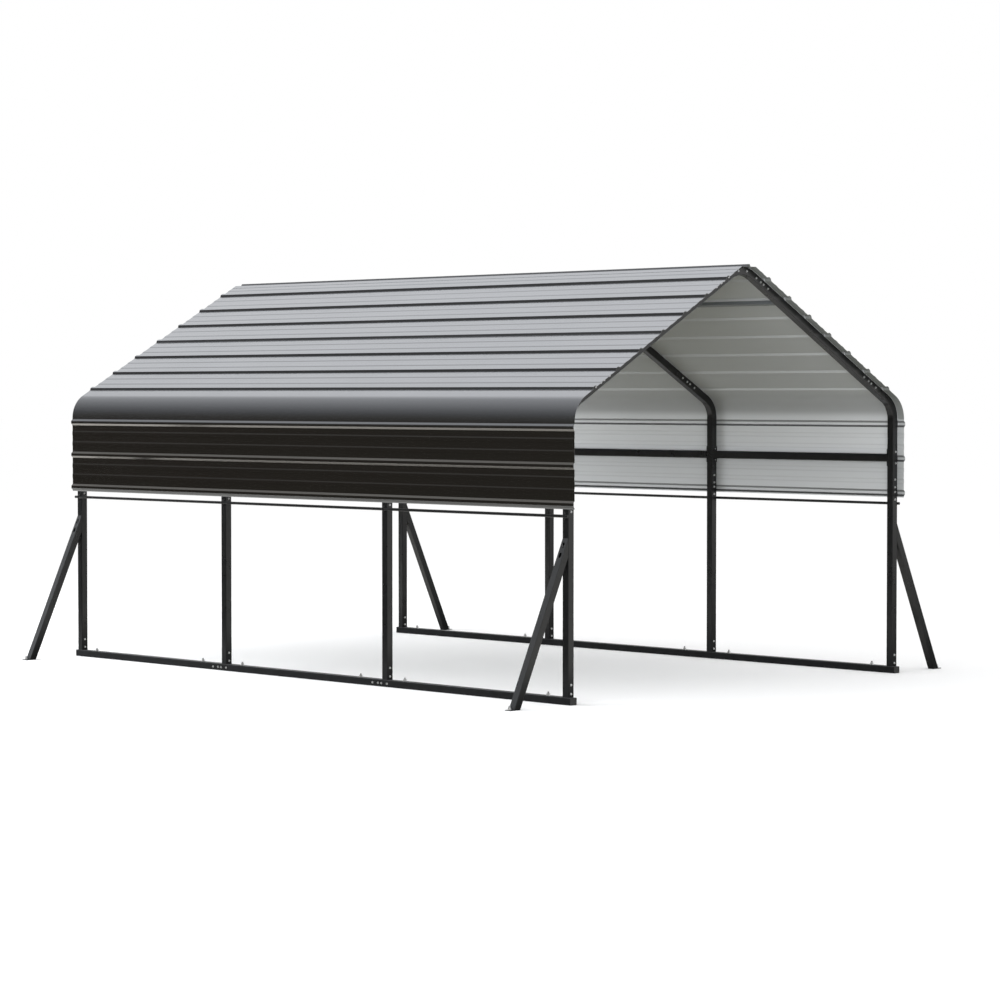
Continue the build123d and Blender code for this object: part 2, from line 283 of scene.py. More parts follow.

# %% [markdown]
# ## Dirt in the folds
#
# Every rib gets a dark line of painted shade along it, and the open ends are painted darker,
# as painted shade. Both follow the shape of the sheet, so they are worked out from it. A face
# that lies in the flat of its sheet gets none; the further it turns away from that flat, the
# more painted shade it gets. Wall and roof have flats of their own, and the roll between them
# has no folds.
#
# Other marks go by height. Outside, a matte grey band along the lower edge of the wall is a
# painted highlight, and the wall up to its top rib is painted darker and warmer, as painted
# shade. Inside, the upper half of the wall is painted paler, as painted light, and the lower
# half darker, as painted shade, and a soft band of painted shade lies in the roll. The group
# gives out a mask for each of these, whether a face looks outwards, and how much painted shade
# a fold gets.
#
# The minor ribs of the roof are low and soft, and paint rounds them further, most of all the
# thick backing coat below, so that they hardly show. The group also gives out a calmed
# direction for those faces, turned most of the way back to the flat of the roof. Main ribs
# turn too far to be calmed.

# %% Build the fold group
ROLL_LOW = 1.651
ROLL_HIGH = 1.836
SLOPE = math.radians(30.0)
# The next ten values place painted shade and light: along the folds, on the open ends, in bands
# by height and in the roll, with a painted highlight at the wall's lower edge.
FOLD_TURN = 0.27
END_FRAME = 2.389
OVERHANG_SHADE_ON_WALL = 0.35
EDGE_HIGHLIGHT_TOP = 1.1645
OUTER_WALL_SHADE_TOP = 1.620
ROLL_SHADE_TOP = (1.852, 1.735)
ROLL_SHADE_FOOT = (1.650, 1.712)
HANGING_FOLD_SHADE = 0.62
UPPER_LIGHT_FROM = (1.36, 1.46)
UPPER_LIGHT_TOP = 1.72
CALM_INSIDE = 0.85
CALM_OUTSIDE = 0.62
CALM_TURN = 0.4
OUTWARD_ACROSS = 0.8
OUTWARD_UP = 0.6


def dot(tree, first, second):
    """Dot product of two vectors."""
    node = add_node(tree, "ShaderNodeVectorMath", operation="DOT_PRODUCT")
    feed(tree, node.inputs[0], first)
    feed(tree, node.inputs[1], second)
    return node.outputs["Value"]


def across_and_up(tree, across, up):
    """Vector across the span and up."""
    node = add_node(tree, "ShaderNodeCombineXYZ")
    feed(tree, node.inputs["X"], across)
    feed(tree, node.inputs["Z"], up)
    return node.outputs[0]


def build_sheet_folds():
    """Where a face of a sheet looks, and masks of painted shade and light on it."""
    inputs = [("Where", "NodeSocketVector", None), ("Normal", "NodeSocketVector", None)]
    outputs = ["Outside", "Ledge", "Film", "Bare", "Rinsed", "Splashed", "Stain"]
    outputs += ["Wall Dirt", "Roof Dirt", "Calm Normal", "End"]
    group, entry, leave = new_group("sheet_folds", inputs, outputs)
    normal = entry.outputs["Normal"]
    split = add_node(group, "ShaderNodeSeparateXYZ")
    feed(group, split.inputs[0], entry.outputs["Where"])
    side = math_node(group, "SIGN", split.outputs["X"])
    height = split.outputs["Z"]

    out_across = math_node(group, "MULTIPLY", side, OUTWARD_ACROSS)
    facing = dot(group, normal, across_and_up(group, out_across, OUTWARD_UP))
    outside = math_node(group, "GREATER_THAN", facing, 0.0)
    feed(group, leave.inputs["Outside"], outside)
    # Painted shade on a rib flank is full where the flank looks up and weaker where it hangs
    # over.
    ledge = math_node(group, "GREATER_THAN", dot(group, normal, (0.0, 0.0, 1.0)), 0.0)
    feed(group, leave.inputs["Ledge"], blend_values(group, ledge, HANGING_FOLD_SHADE, 1.0))

    # Bands by height: the outer wall painted darker up to its top rib, a painted highlight at
    # its lower edge, the inner wall painted paler above and darker below, and painted shade in
    # the roll.
    feed(group, leave.inputs["Film"], math_node(group, "LESS_THAN", height, OUTER_WALL_SHADE_TOP))
    feed(group, leave.inputs["Bare"], math_node(group, "LESS_THAN", height, EDGE_HIGHLIGHT_TOP))
    upper_light = soft_step(group, height, *UPPER_LIGHT_FROM)
    below_roll_shade = math_node(group, "LESS_THAN", height, UPPER_LIGHT_TOP)
    feed(group, leave.inputs["Rinsed"], math_node(group, "MULTIPLY", upper_light, below_roll_shade))
    feed(group, leave.inputs["Splashed"], math_node(group, "SUBTRACT", 1.0, upper_light))
    # Painted shade: a soft darker band in the roll.
    roll_shade_top = soft_step(group, height, *ROLL_SHADE_TOP)
    roll_shade_foot = soft_step(group, height, *ROLL_SHADE_FOOT)
    feed(group, leave.inputs["Stain"], math_node(group, "MINIMUM", roll_shade_top, roll_shade_foot))

    wall_flat = across_and_up(group, 1.0, 0.0)
    roof_across = math_node(group, "MULTIPLY", side, math.sin(SLOPE))
    roof_flat = across_and_up(group, roof_across, math.cos(SLOPE))
    on_wall = math_node(group, "LESS_THAN", height, ROLL_LOW)
    on_roof = math_node(group, "GREATER_THAN", height, ROLL_HIGH)
    turns = {}
    # Painted shade along the folds: the further a face turns from the flat of its wall or roof,
    # the darker it is painted.
    for part, flat, place in (("Wall", wall_flat, on_wall), ("Roof", roof_flat, on_roof)):
        level = math_node(group, "ABSOLUTE", dot(group, normal, flat))
        turn = math_node(group, "DIVIDE", math_node(group, "SUBTRACT", 1.0, level), FOLD_TURN)
        turns[part] = math_node(group, "MINIMUM", turn, 1.0)
        fold_shade = math_node(group, "MULTIPLY", turns[part], place)
        feed(group, leave.inputs[f"{part} Dirt"], fold_shade)

    minor = math_node(group, "LESS_THAN", turns["Roof"], CALM_TURN)
    calm = math_node(group, "MULTIPLY", on_roof, minor)
    share = blend_values(group, outside, CALM_INSIDE, CALM_OUTSIDE)
    same_way = add_node(group, "ShaderNodeVectorMath", operation="SCALE")
    feed(group, same_way.inputs[0], roof_flat)
    feed(group, same_way.inputs["Scale"], blend_values(group, outside, -1.0, 1.0))
    calmed = add_node(group, "ShaderNodeMix", data_type="VECTOR")
    feed(group, calmed.inputs[0], math_node(group, "MULTIPLY", calm, share))
    feed(group, calmed.inputs[4], normal)
    feed(group, calmed.inputs[5], same_way.outputs["Vector"])
    feed(group, leave.inputs["Calm Normal"], calmed.outputs[1])

    # Painted shade on the open ends beyond the end frames, weaker on the wall.
    along = math_node(group, "ABSOLUTE", split.outputs["Y"])
    end = math_node(group, "GREATER_THAN", along, END_FRAME)
    overhang_share = blend_values(group, on_wall, 1.0, OVERHANG_SHADE_ON_WALL)
    feed(group, leave.inputs["End"], math_node(group, "MULTIPLY", end, overhang_share))
    return group


SHEET_FOLDS = build_sheet_folds()
print("group:", SHEET_FOLDS.name, "with", len(SHEET_FOLDS.nodes), "nodes")

# %% [markdown]
# ## The sheet coat
#
# The sheets are coil-coated steel, with a glossy dark metallic paint outside and a pale
# backing coat inside. One solid has both faces, so the material tells them apart by the
# direction that a face looks: outwards and up on either side of the ridge, or the other way.
# Two materials on split meshes would do it too, but then the CAD nodes could not stay.
#
# The outer paint is close to a dark mirror. Its pans take their brightness from what they
# reflect, which is why the roof looks silver and the walls look black in the same paint; the
# wall up to its top rib is also painted darker and warmer, as painted shade. Outside, only the
# roof's ribs get painted shade along their flanks. Inside it is the wall's ribs, and there a
# lower flank, which looks up, gets more of it than an upper one, which hangs over. The wall's
# upper half is painted paler, as painted light, and its lower half darker, as painted shade.

# %% Make the sheet coat
# Apart from the outer paint, the inner paint and the chalk, these colours are painted shade and
# light; the grey of the wall's lower edge is a painted highlight.
OUTER_PAINT = (0.43, 0.445, 0.475, 1.0)
OUTER_FOLD_SHADE = (0.20, 0.205, 0.215, 1.0)
OUTER_WALL_SHADE = (0.285, 0.275, 0.260, 1.0)
INNER_PAINT = (0.655, 0.665, 0.67, 1.0)
INNER_FOLD_SHADE = (0.055, 0.056, 0.056, 1.0)
INNER_UPPER_LIGHT = (0.715, 0.725, 0.73, 1.0)
INNER_LOWER_SHADE = (0.575, 0.584, 0.588, 1.0)
INNER_ROLL_SHADE = (0.43, 0.436, 0.436, 1.0)
INNER_OVERHANG_SHADE = (0.30, 0.31, 0.30, 1.0)
EDGE_HIGHLIGHT_GREY = (0.105, 0.104, 0.100, 1.0)
CHALK = (0.73, 0.735, 0.73, 1.0)
CHALK_SHARE = 0.35
SHEET_DRIFT = 1.7
OUTER_ROUGHNESS = (0.13, 0.21)
INNER_ROUGHNESS = 0.62
BUCKLE_STRETCH = (2.2, 0.9, 2.2)
BUCKLE_SCALE = 1.0
BUCKLE_DETAIL = 1.0
BUCKLE_ROUGHNESS = 0.4
BUCKLE_HEIGHT = 0.0009


def make_sheet_coat():
    """Dark metallic paint outside and a pale backing coat inside."""
    material, tree, shader, where = start_coat("sheet_coat")
    normal = add_node(tree, "ShaderNodeNewGeometry").outputs["Normal"]
    folds = place_group(tree, SHEET_FOLDS, Where=where, Normal=normal).outputs
    outside = folds["Outside"]

    uneven = place_group(tree, COAT_UNEVENNESS, Where=where, Drift_Scale=SHEET_DRIFT)
    drift = uneven.outputs["Drift"]
    chalky = math_node(tree, "MULTIPLY", drift, CHALK_SHARE)
    inner = blend_colours(tree, chalky, INNER_PAINT, CHALK)
    # Painted light and shade inside: the wall paler above and darker below, a darker band in
    # the roll, and darker open ends.
    inner = blend_colours(tree, folds["Rinsed"], inner, INNER_UPPER_LIGHT)
    inner = blend_colours(tree, folds["Splashed"], inner, INNER_LOWER_SHADE)
    inner = blend_colours(tree, folds["Stain"], inner, INNER_ROLL_SHADE)
    inner = blend_colours(tree, folds["End"], inner, INNER_OVERHANG_SHADE)
    # Painted shade on the inner wall's rib flanks, full on flanks that look up.
    wall_fold_shade = math_node(tree, "MULTIPLY", folds["Wall Dirt"], folds["Ledge"])
    inner = blend_colours(tree, wall_fold_shade, inner, INNER_FOLD_SHADE)
    # Painted shade: the outer wall darker and warmer up to its top rib.
    outer = blend_colours(tree, folds["Film"], OUTER_PAINT, OUTER_WALL_SHADE)
    # Painted shade: dark lines along the flanks of the roof's ribs outside.
    outer = blend_colours(tree, folds["Roof Dirt"], outer, OUTER_FOLD_SHADE)
    # Painted highlight: a matte grey band along the wall's lower edge, where the metal is also
    # turned off.
    outer = blend_colours(tree, folds["Bare"], outer, EDGE_HIGHLIGHT_GREY)
    feed(tree, shader.inputs["Base Color"], blend_colours(tree, outside, inner, outer))
    painted = math_node(tree, "SUBTRACT", 1.0, folds["Bare"])
    glossy = math_node(tree, "MULTIPLY", outside, painted)
    feed(tree, shader.inputs["Metallic"], glossy)
    gloss = blend_values(tree, drift, *OUTER_ROUGHNESS)
    feed(tree, shader.inputs["Roughness"], blend_values(tree, glossy, INNER_ROUGHNESS, gloss))

    stretch = add_node(tree, "ShaderNodeMapping")
    feed(tree, stretch.inputs["Vector"], where)
    stretch.inputs["Scale"].default_value = BUCKLE_STRETCH
    stretched = stretch.outputs["Vector"]
    buckle = noise(tree, stretched, BUCKLE_SCALE, BUCKLE_DETAIL, BUCKLE_ROUGHNESS)
    bump(tree, shader, buckle, BUCKLE_HEIGHT, folds["Calm Normal"])
    return material


SHEET_COAT = make_sheet_coat()
print("made", SHEET_COAT.name)

# %% [markdown]
# ## The frame coat, the cap plastic and the zinc
#
# The tubes have a satin black powder coat. It is nearly black where it faces dark and shows a
# soft sheen where it faces light, with the fine peel of powder. Near the ground it is scuffed
# and has lost its shine, and faces that look up there, such as the sloping tops of the struts,
# are paler, with dust and with painted light for the light they catch. The purlins under the
# roof have the same black coat, painted slate grey as painted light for the light they catch,
# so one function makes both. The caps are moulded plastic, a shade duller. Screws, bolts and
# anchors are bright zinc.

# %% Make the frame coat, the plastic and the zinc
POWDER_BLACK = (0.0035, 0.0038, 0.0042, 1.0)
POWDER_WORN = (0.007, 0.0073, 0.0076, 1.0)
POWDER_GRAIN = {"Drift_Scale": 9.0, "Peel_Scale": 900.0}
POWDER_ROUGHNESS = (0.24, 0.33)
POWDER_PEEL = 0.00012
POWDER_SHINE = 0.70
SCUFFED_SHINE = 0.06
SCUFF_REACH = 0.32
# The slate grey of the purlins is painted light on the black coat.
PURLIN_LIT_GREY = (0.17, 0.183, 0.195, 1.0)
PURLIN_LIT_GREY_WORN = (0.21, 0.222, 0.232, 1.0)
PLASTIC_BLACK = (0.006, 0.006, 0.006, 1.0)
PLASTIC_SCUFFED = (0.016, 0.016, 0.016, 1.0)
PLASTIC_GRAIN = {"Drift_Scale": 30.0, "Peel_Scale": 1600.0}
PLASTIC_DUST = {"Reach": 0.10, "Amount": 0.12}
PLASTIC_ROUGHNESS = (0.5, 0.62)
PLASTIC_PEEL = 0.0001
# Grey of dust; on faces that look up it is also painted light.
DUST_AND_TOP_LIGHT = (0.19, 0.195, 0.20, 1.0)
DUST_ROUGHNESS = 0.8
# The lying share paints faces that look up paler, as dust and painted light.
POWDER_DUST_AND_TOP_LIGHT = {"Reach": SCUFF_REACH, "Amount": 0.05, "Lying_Amount": 0.28}
ZINC = (0.88, 0.89, 0.90, 1.0)
ZINC_DULL = (0.68, 0.69, 0.70, 1.0)
ZINC_GRAIN = {"Drift_Scale": 120.0, "Peel_Scale": 2500.0}
ZINC_ROUGHNESS = (0.26, 0.44)
ZINC_PEEL = 0.00004


def make_powder_coat(name, fresh, worn):
    """Satin powder coat, shifting between a fresh and a worn shade."""
    material, tree, shader, where = start_coat(name)
    uneven = place_group(tree, COAT_UNEVENNESS, Where=where, **POWDER_GRAIN)
    normal = add_node(tree, "ShaderNodeNewGeometry").outputs["Normal"]
    wear = place_group(tree, GROUND_DUST_AND_TOP_LIGHT, Where=where, Normal=normal, **POWDER_DUST_AND_TOP_LIGHT)
    dust_and_top_light = wear.outputs["Dust"]
    shine = blend_values(tree, wear.outputs["Scuffs"], POWDER_SHINE, SCUFFED_SHINE)
    feed(tree, shader.inputs["Specular IOR Level"], shine)
    coat = blend_colours(tree, uneven.outputs["Drift"], fresh, worn)
    # Dust near the ground, and dust with painted light on faces that look up.
    feed(tree, shader.inputs["Base Color"], blend_colours(tree, dust_and_top_light, coat, DUST_AND_TOP_LIGHT))
    sheen = blend_values(tree, uneven.outputs["Drift"], *POWDER_ROUGHNESS)
    feed(tree, shader.inputs["Roughness"], blend_values(tree, dust_and_top_light, sheen, DUST_ROUGHNESS))
    bump(tree, shader, uneven.outputs["Peel"], POWDER_PEEL)
    return material


def make_cap_plastic():
    """Moulded black plastic with a fine spark texture."""
    material, tree, shader, where = start_coat("cap_plastic_coat")
    uneven = place_group(tree, COAT_UNEVENNESS, Where=where, **PLASTIC_GRAIN)
    dust_and_top_light = place_group(tree, GROUND_DUST_AND_TOP_LIGHT, Where=where, **PLASTIC_DUST).outputs["Dust"]
    scuffed = blend_colours(tree, uneven.outputs["Drift"], PLASTIC_BLACK, PLASTIC_SCUFFED)
    feed(tree, shader.inputs["Base Color"], blend_colours(tree, dust_and_top_light, scuffed, DUST_AND_TOP_LIGHT))
    dull = blend_values(tree, uneven.outputs["Drift"], *PLASTIC_ROUGHNESS)
    feed(tree, shader.inputs["Roughness"], dull)
    bump(tree, shader, uneven.outputs["Peel"], PLASTIC_PEEL)
    return material


def make_zinc():
    """Bright zinc plating, dulled in patches."""
    material, tree, shader, where = start_coat("zinc_plate")
    uneven = place_group(tree, COAT_UNEVENNESS, Where=where, **ZINC_GRAIN)
    plate = blend_colours(tree, uneven.outputs["Drift"], ZINC, ZINC_DULL)
    feed(tree, shader.inputs["Base Color"], plate)
    shader.inputs["Metallic"].default_value = 1.0
    dull = blend_values(tree, uneven.outputs["Drift"], *ZINC_ROUGHNESS)
    feed(tree, shader.inputs["Roughness"], dull)
    bump(tree, shader, uneven.outputs["Peel"], ZINC_PEEL)
    return material


FRAME_COAT = make_powder_coat("frame_coat", POWDER_BLACK, POWDER_WORN)
# Painted light: the purlins are the black coat painted slate grey for the light they catch.
PURLIN_LIT_GREY_COAT = make_powder_coat("purlin_coat", PURLIN_LIT_GREY, PURLIN_LIT_GREY_WORN)
CAP_PLASTIC = make_cap_plastic()
ZINC_PLATE = make_zinc()
print("made", FRAME_COAT.name, PURLIN_LIT_GREY_COAT.name, CAP_PLASTIC.name, ZINC_PLATE.name)

# %% [markdown]
# ## Dress the CAD nodes
#
# A CAD node whose shape is right keeps its mesh and only gets its finish. The name says which
# one: sheets and the ridge cap take the sheet coat, the rail end caps the plastic, the purlins
# the slate and all else the black powder coat.


# %% Assign the finishes
def finish_for(name):
    """Material and slot name of a node."""
    if name.endswith("_sheet") or name == "ridge_cap":
        return SHEET_COAT, "sheet_coating"
    if name == "rail_end_caps":
        return CAP_PLASTIC, "cap_plastic"
    if name.endswith("_purlins"):
        return PURLIN_LIT_GREY_COAT, "frame_coating"
    return FRAME_COAT, "frame_coating"


for name, node in nodes.items():
    node.data.materials.clear()
    node.data.materials.append(finish_for(name)[0])
print("dressed", len(nodes), "nodes")

# %% [markdown]
# ## Copies that stand for their nodes
#
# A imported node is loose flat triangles, so a bend in a tube or a rolled eave shows its
# facets, most of all in glossy paint. A finer CAD mesh would only hide that. A copy with its
# corners merged can be shaded smooth, with creases kept where faces meet at more than a small
# angle, and normals weighted by face size so that the flats stay flat.
#
# The sheets lap at a rib. In the solids the lower sheet ends flat below the rib that covers
# it. On the real roof its edge is turned up and nests inside that rib, so that every rib looks
# the same from below. The copy of a lower sheet is cut along the foot and the shoulder of the
# covering rib, and what lies beyond is lifted to just under it. Each copy then stands for its
# node, in the same place.

# %% Define the steps of a copy
MERGE_DISTANCE = 0.00001
CREASE = math.radians(20.0)
RIB_BASE = 0.042
RIB_TOP = 0.016
LAP_UNDER = 0.010
LAP_LIFT = 0.0111
LAP_SHORTEN = 0.004


def merged_copy(name):
    """Editable copy of a node with its corners merged."""
    shape = bmesh.new()
    shape.from_mesh(nodes[name].data)
    bmesh.ops.remove_doubles(shape, verts=shape.verts, dist=MERGE_DISTANCE)
    return shape


def round_shading(shape):
    """Smooth shading with creases."""
    for face in shape.faces:
        face.smooth = True
    for edge in shape.edges:
        edge.smooth = len(edge.link_faces) == 2 and edge.calc_face_angle(0.0) < CREASE


def nest_lap(shape, up, out):
    """Turn the flat upper edge of a sheet up into the rib that covers it."""
    middle = max(corner.co.dot(up) for corner in shape.verts) - LAP_UNDER
    for half in (RIB_BASE / 2, RIB_TOP / 2):
        everything = shape.verts[:] + shape.edges[:] + shape.faces[:]
        cut = {"plane_co": up * (middle - half), "plane_no": up}
        bmesh.ops.bisect_plane(shape, geom=everything, dist=MERGE_DISTANCE, **cut)
    for corner in shape.verts:
        along = corner.co.dot(up) - middle
        if along > -RIB_TOP / 2 - MERGE_DISTANCE:
            corner.co += out * LAP_LIFT
        if along > 0.0:
            corner.co -= up * LAP_SHORTEN
    shape.normal_update()


def stand_in(name, shape):
    """Finish a copy as the piece that stands for a node."""
    mesh = nodes[name].data.copy()
    shape.to_mesh(mesh)
    shape.free()
    piece = add_object(f"{name}_copy", mesh)
    weighted = piece.modifiers.new("even_normals", "WEIGHTED_NORMAL")
    weighted.keep_sharp = True
    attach(piece, "root")
    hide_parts(name)
    return piece


print("copy steps ready")

# %% Make the copies
BENT_NODES = [name for name in nodes if name.endswith(("_eave_bends", "_eave_sheet"))]
BENT_NODES += ["ridge_bends", "lower_rods"]
LAPPED_NODES = {}
SIDES = (("left", -1), ("right", 1))
for side_name, side in SIDES:
    wall_way = (Vector((0.0, 0.0, 1.0)), Vector((side, 0.0, 0.0)))
    roof_up = Vector((-side * math.cos(SLOPE), 0.0, math.sin(SLOPE)))
    roof_way = (roof_up, Vector((side * math.sin(SLOPE), 0.0, math.cos(SLOPE))))
    LAPPED_NODES[f"{side_name}_wall_sheet"] = wall_way
    LAPPED_NODES[f"{side_name}_eave_sheet"] = roof_way
    LAPPED_NODES[f"{side_name}_lower_roof_sheet"] = roof_way

for name in sorted(set(BENT_NODES) | set(LAPPED_NODES)):
    shape = merged_copy(name)
    if name in LAPPED_NODES:
        nest_lap(shape, *LAPPED_NODES[name])
    if name in BENT_NODES:
        round_shading(shape)
    piece = stand_in(name, shape)
    print("made", piece.name, len(piece.data.polygons), "faces")

# %% [markdown]
# ## One tree for every fastener
#
# A self-drilling screw is a hexagon on a thin flange. A ground anchor is a washer, a nut and
# the end of its stud. Both are the same stack of short cones with other sizes, so one
# Geometry Nodes tree makes them all: it puts the stack on each point of a small mesh, turned
# to look along the point's own direction, with a random twist because no two screws stop at
# the same angle. Copying objects by hand would give hundreds of them to keep in order.

# %% Build the fastener tree
SCREW_SEED = 7
FLANGE_SIDES = 16
HEX_SIDES = 6
STUD_SIDES = 10
FLANGE_TAPER = 0.86
CROWN_TAPER = 0.78
CROWN_SHARE = 0.14
STUD_TAPER = 0.82
SMALLEST = 0.001


def tree_input(tree, title, kind, value=None):
    """Add a named input to a geometry tree."""
    socket = tree.interface.new_socket(title, in_out="INPUT", socket_type=kind)
    if value is not None:
        socket.default_value = value


def end_tree(tree, geometry, finish):
    """Make the result of a geometry tree real, give it its finish and hand it out."""
    real = add_node(tree, "GeometryNodeRealizeInstances")
    feed(tree, real.inputs["Geometry"], geometry)
    paint = add_node(tree, "GeometryNodeSetMaterial")
    feed(tree, paint.inputs["Geometry"], real.outputs["Geometry"])
    feed(tree, paint.inputs["Material"], finish)
    leave = tree.nodes.new("NodeGroupOutput")
    feed(tree, leave.inputs[0], paint.outputs["Geometry"])


def cone(tree, sides, low_radius, high_radius, depth, base):
    """Short cone standing on a given height; returns its mesh."""
    node = add_node(tree, "GeometryNodeMeshCone", fill_type="NGON")
    node.inputs["Vertices"].default_value = sides
    feed(tree, node.inputs["Radius Bottom"], low_radius)
    feed(tree, node.inputs["Radius Top"], high_radius)
    feed(tree, node.inputs["Depth"], depth)
    lift = add_node(tree, "ShaderNodeCombineXYZ")
    feed(tree, lift.inputs["Z"], base)
    move = add_node(tree, "GeometryNodeTransform")
    feed(tree, move.inputs["Geometry"], node.outputs["Mesh"])
    feed(tree, move.inputs["Translation"], lift.outputs[0])
    return move.outputs["Geometry"]


def build_fastener_tree():
    """Flange, hexagon and stud end on every point, looking along its direction."""
    tree = bpy.data.node_groups.new("fastener_field", "GeometryNodeTree")
    tree_input(tree, "Points", "NodeSocketGeometry")
    for title in ("Flange", "Hex", "Stud"):
        tree_input(tree, f"{title} Radius", "NodeSocketFloat", SMALLEST)
        tree_input(tree, f"{title} Depth", "NodeSocketFloat", SMALLEST)
    tree_input(tree, "Seed", "NodeSocketInt", SCREW_SEED)
    tree_input(tree, "Finish", "NodeSocketMaterial")
    tree.interface.new_socket("Fasteners", in_out="OUTPUT", socket_type="NodeSocketGeometry")
    entry = tree.nodes.new("NodeGroupInput").outputs

    flange_radius, flange_depth = entry["Flange Radius"], entry["Flange Depth"]
    hex_radius, hex_depth = entry["Hex Radius"], entry["Hex Depth"]
    stud_radius, stud_depth = entry["Stud Radius"], entry["Stud Depth"]
    flange_top = math_node(tree, "MULTIPLY", flange_radius, FLANGE_TAPER)
    flange = cone(tree, FLANGE_SIDES, flange_radius, flange_top, flange_depth, 0.0)
    hexagon = cone(tree, HEX_SIDES, hex_radius, hex_radius, hex_depth, flange_depth)
    hex_end = math_node(tree, "ADD", flange_depth, hex_depth)
    crown_radius = math_node(tree, "MULTIPLY", hex_radius, CROWN_TAPER)
    crown_depth = math_node(tree, "MULTIPLY", hex_depth, CROWN_SHARE)
    crown = cone(tree, HEX_SIDES, hex_radius, crown_radius, crown_depth, hex_end)
    stud_top = math_node(tree, "MULTIPLY", stud_radius, STUD_TAPER)
    stud = cone(tree, STUD_SIDES, stud_radius, stud_top, stud_depth, hex_end)
    stack = add_node(tree, "GeometryNodeJoinGeometry")
    for part in (flange, hexagon, crown, stud):
        tree.links.new(part, stack.inputs[0])

    facing = add_node(tree, "GeometryNodeInputNamedAttribute", data_type="FLOAT_VECTOR")
    facing.inputs["Name"].default_value = "facing"
    turn = add_node(tree, "FunctionNodeAlignRotationToVector", axis="Z")
    feed(tree, turn.inputs["Vector"], facing.outputs["Attribute"])
    twist = add_node(tree, "FunctionNodeRandomValue", data_type="FLOAT")
    twist.inputs[3].default_value = math.tau
    feed(tree, twist.inputs["Seed"], entry["Seed"])
    spin = add_node(tree, "FunctionNodeAxisAngleToRotation")
    spin.inputs["Axis"].default_value = (0.0, 0.0, 1.0)
    feed(tree, spin.inputs["Angle"], twist.outputs[1])
    aim = add_node(tree, "FunctionNodeRotateRotation", rotation_space="LOCAL")
    feed(tree, aim.inputs["Rotation"], turn.outputs[0])
    feed(tree, aim.inputs["Rotate By"], spin.outputs[0])

    scatter = add_node(tree, "GeometryNodeInstanceOnPoints")
    feed(tree, scatter.inputs["Points"], entry["Points"])
    feed(tree, scatter.inputs["Instance"], stack.outputs[0])
    feed(tree, scatter.inputs["Rotation"], aim.outputs[0])
    end_tree(tree, scatter.outputs["Instances"], entry["Finish"])
    return tree


FASTENER_TREE = build_fastener_tree()
print("tree", FASTENER_TREE.name, "has", len(FASTENER_TREE.nodes), "nodes")


# %% Define how a tree becomes a plain piece
def run_tree(name, source, tree, **values):
    """Run a geometry tree on a mesh and keep the result as a plain mesh piece."""
    carrier = add_object(f"{name}_source", source)
    modifier = carrier.modifiers.new("tree", "NODES")
    modifier.node_group = tree
    for item in tree.interface.items_tree:
        title = item.name.replace(" ", "_")
        if item.in_out == "INPUT" and title in values:
            modifier[item.identifier] = values[title]
    depsgraph = bpy.context.evaluated_depsgraph_get()
    mesh = bpy.data.meshes.new_from_object(carrier.evaluated_get(depsgraph))
    bpy.data.objects.remove(carrier)
    piece = add_object(name, mesh)
    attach(piece, "root")
    return piece


def place_fasteners(name, places, **sizes):
    """Put fasteners at (point, direction) places."""
    source = bpy.data.meshes.new(f"{name}_points")
    source.from_pydata([tuple(point) for point, facing in places], [], [])
    directions = source.attributes.new("facing", "FLOAT_VECTOR", "POINT")
    for item, (point, facing) in zip(directions.data, places):
        item.vector = facing
    piece = run_tree(name, source, FASTENER_TREE, Finish=ZINC_PLATE, **sizes)
    print(name, len(places), "pieces", len(piece.data.polygons), "faces")


SCREW_SIZES = {
    "Flange_Radius": 0.0075,
    "Flange_Depth": 0.0016,
    "Hex_Radius": 0.0046,
    "Hex_Depth": 0.0038,
    "Stud_Radius": 0.0026,
    "Stud_Depth": 0.0006,
}

# %% [markdown]
# ## Screws of the frames
#
# Each frame is screwed together through both faces: four screws at every splice of legs,
# bends and rafters, two at the peak, two at the foot of each leg and two through each girt
# plate. Their places are taken along the tubes' own middle lines, read from the nodes' boxes,
# so they stay on the tubes whatever the sizes are.

# %% Place the frame screws
FRAME_NAMES = ("front", "front_middle", "rear_middle", "rear")
TUBE = 0.048
LEG_SPLICE = (0.065, 0.015, -0.015, -0.065)
EAVE_SPLICE = (0.067, 0.0158, -0.0158, -0.067)
RIDGE_SPLICE = (0.0637, 0.0147, -0.0147, -0.0637)
FOOT_SCREWS = (0.021, 0.074)
PEAK_SCREW_X = 0.038
PEAK_SCREW_DROP = 0.0245
GIRT_SCREW_RISE = 0.037
GIRT_SCREW_SHIFT = 0.006


def splice(joint_x, joint_z, along_x, along_z, offsets):
    """Points across a splice, in the plane of a frame."""
    return [(joint_x + along_x * offset, joint_z + along_z * offset) for offset in offsets]


